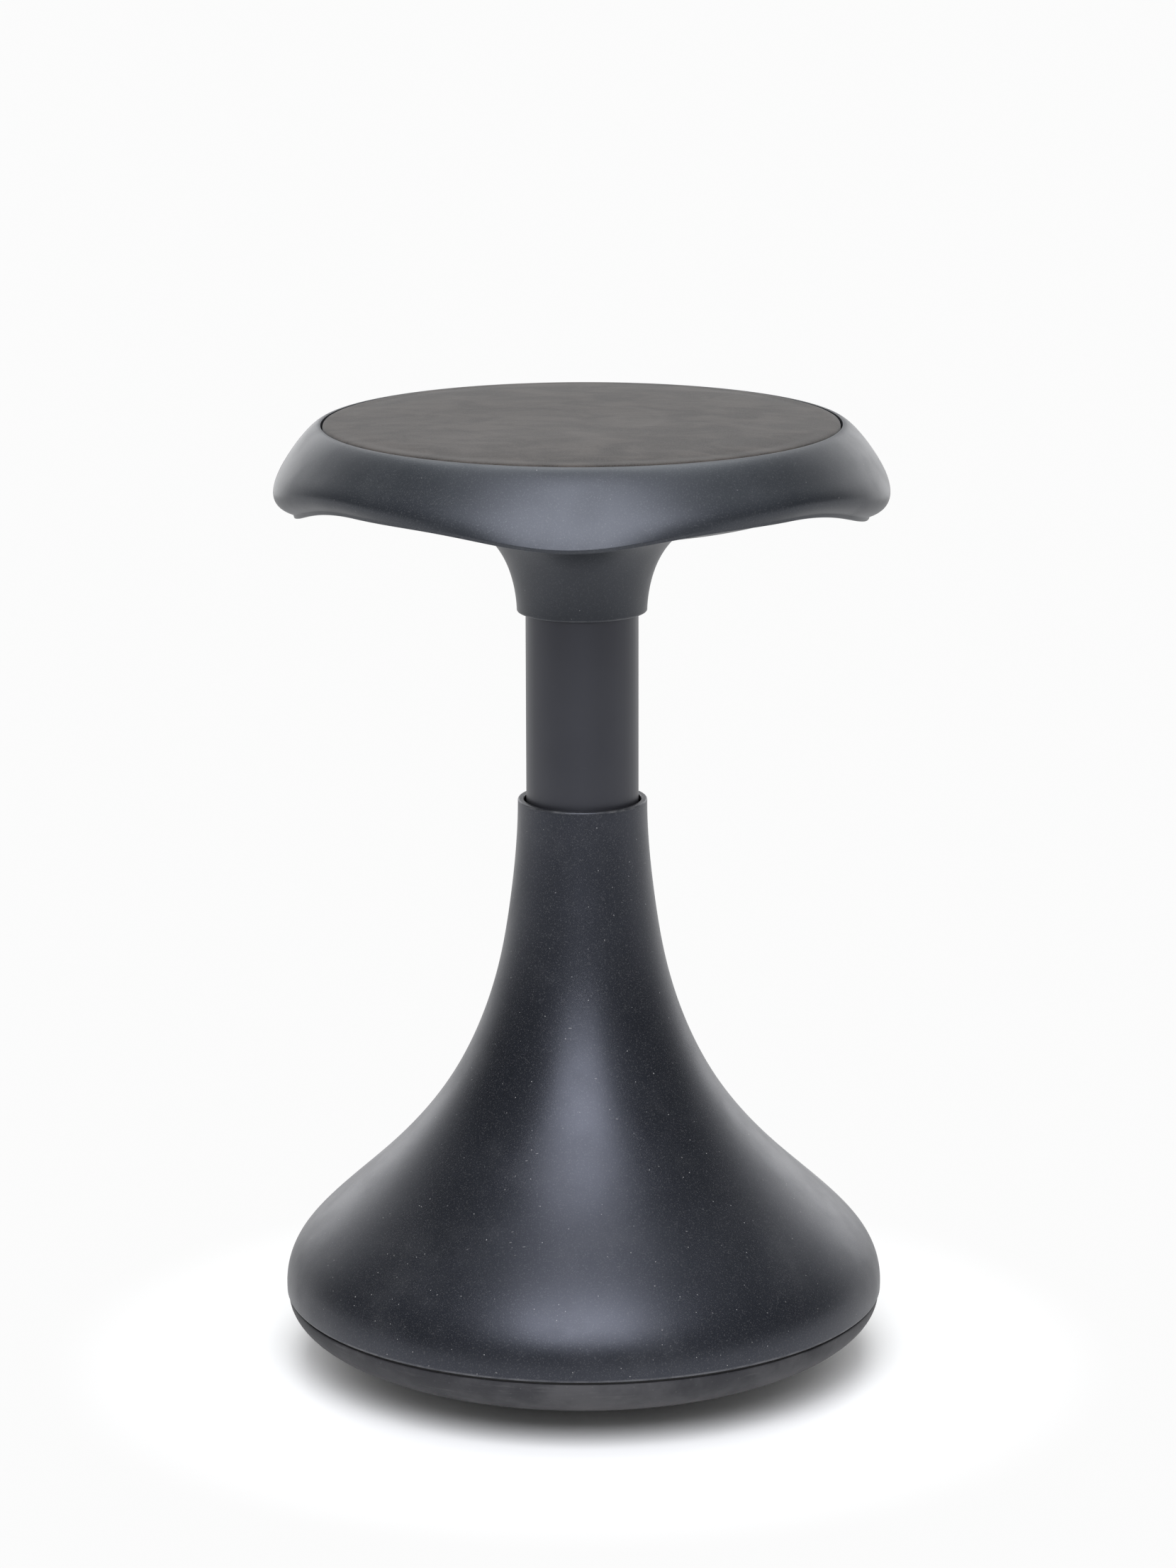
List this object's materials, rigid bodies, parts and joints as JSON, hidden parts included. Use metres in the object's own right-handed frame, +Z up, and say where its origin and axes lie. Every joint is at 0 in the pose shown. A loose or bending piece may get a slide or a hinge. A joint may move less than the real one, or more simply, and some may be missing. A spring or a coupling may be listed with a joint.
{
  "type": "wobble stool",
  "caption": "Height-adjustable rocking stool: round padded seat with a scalloped skirt on a telescoping column, over a flared weighted bell and a rounded rubber foot.",
  "frame": {"origin": "on the floor, under the stool's axis", "axes": "+Z up along the column, +Y towards the back, +X to the sitter's left as seen from the front, right in the picture"},
  "size_m": [0.3696, 0.3697, 0.5872],
  "materials": {
    "bell_plastic": "charcoal moulded plastic with a fine grain",
    "shell_plastic": "charcoal moulded plastic with a fine grain",
    "column_plastic": "charcoal extruded plastic, matt",
    "grip_plastic": "black moulded plastic",
    "tray_plastic": "black moulded plastic",
    "bush_plastic": "natural acetal",
    "foot_rubber": "matt rubber, dusty and scuffed",
    "buffer_rubber": "matt rubber",
    "pad_cover": "warm grey microfibre over thin foam",
    "ballast_iron": "raw casting",
    "black_steel": "black powder coat",
    "zinc_steel": "zinc plated",
    "ground_steel": "ground",
    "chromed_steel": "hard chrome"
  },
  "bodies": {
    "base": {"rubber_foot": "foot_rubber", "base_tray": "tray_plastic", "ballast_lower": "ballast_iron", "ballast_upper": "ballast_iron", "hub_socket": "black_steel", "hub_bolts": "zinc_steel", "base_bell": "bell_plastic", "tray_screws": "zinc_steel", "lift_stand_tube": "black_steel", "lift_guide_bush": "bush_plastic", "column_guide_ring": "bush_plastic", "bearing_lower_race": "ground_steel"},
    "spindle": {"piston_rod": "ground_steel", "piston": "ground_steel", "bearing_upper_race": "ground_steel", "bearing_balls": "ground_steel", "rod_clip": "zinc_steel", "bump_stop": "buffer_rubber"},
    "seat": {"pressure_tube": "chromed_steel", "tube_gland": "bush_plastic", "column_sleeve": "column_plastic", "under_pan": "shell_plastic", "pan_screws": "zinc_steel", "seat_shell": "shell_plastic", "pad_board": "tray_plastic", "seat_pad": "pad_cover", "mounting_plate": "black_steel", "taper_socket": "black_steel", "plate_bolts": "zinc_steel", "lever_bracket": "black_steel", "lever_pin": "zinc_steel"},
    "lever": {"release_lever": "zinc_steel", "lever_grip": "grip_plastic"},
    "release": {"release_pin": "zinc_steel"}
  },
  "joints": [
    {"name": "seat_swivel", "type": "hinge", "parent": "base", "child": "spindle", "pos_m": [0, 0, 0.037], "axis": [0, 0, 1], "continuous": true},
    {"name": "seat_lift", "type": "slide", "parent": "spindle", "child": "seat", "axis": [0, 0, 1], "range_m": [0, 0.254]},
    {"name": "lever_pivot", "type": "hinge", "parent": "seat", "child": "lever", "pos_m": [0.02121, 0.02121, 0.564], "axis": [0.7071, -0.7071, 0], "range_deg": [0, 4.8], "stiffness_Nm_per_rad": 6, "springref_deg": -2.86},
    {"name": "release_press", "type": "slide", "parent": "seat", "child": "release", "axis": [0, 0, -1], "range_m": [0, 0.0026]}
  ],
  "couplings": [
    {"joint": "release_press", "follows": "lever_pivot", "m_per_rad": 0.03}
  ]
}
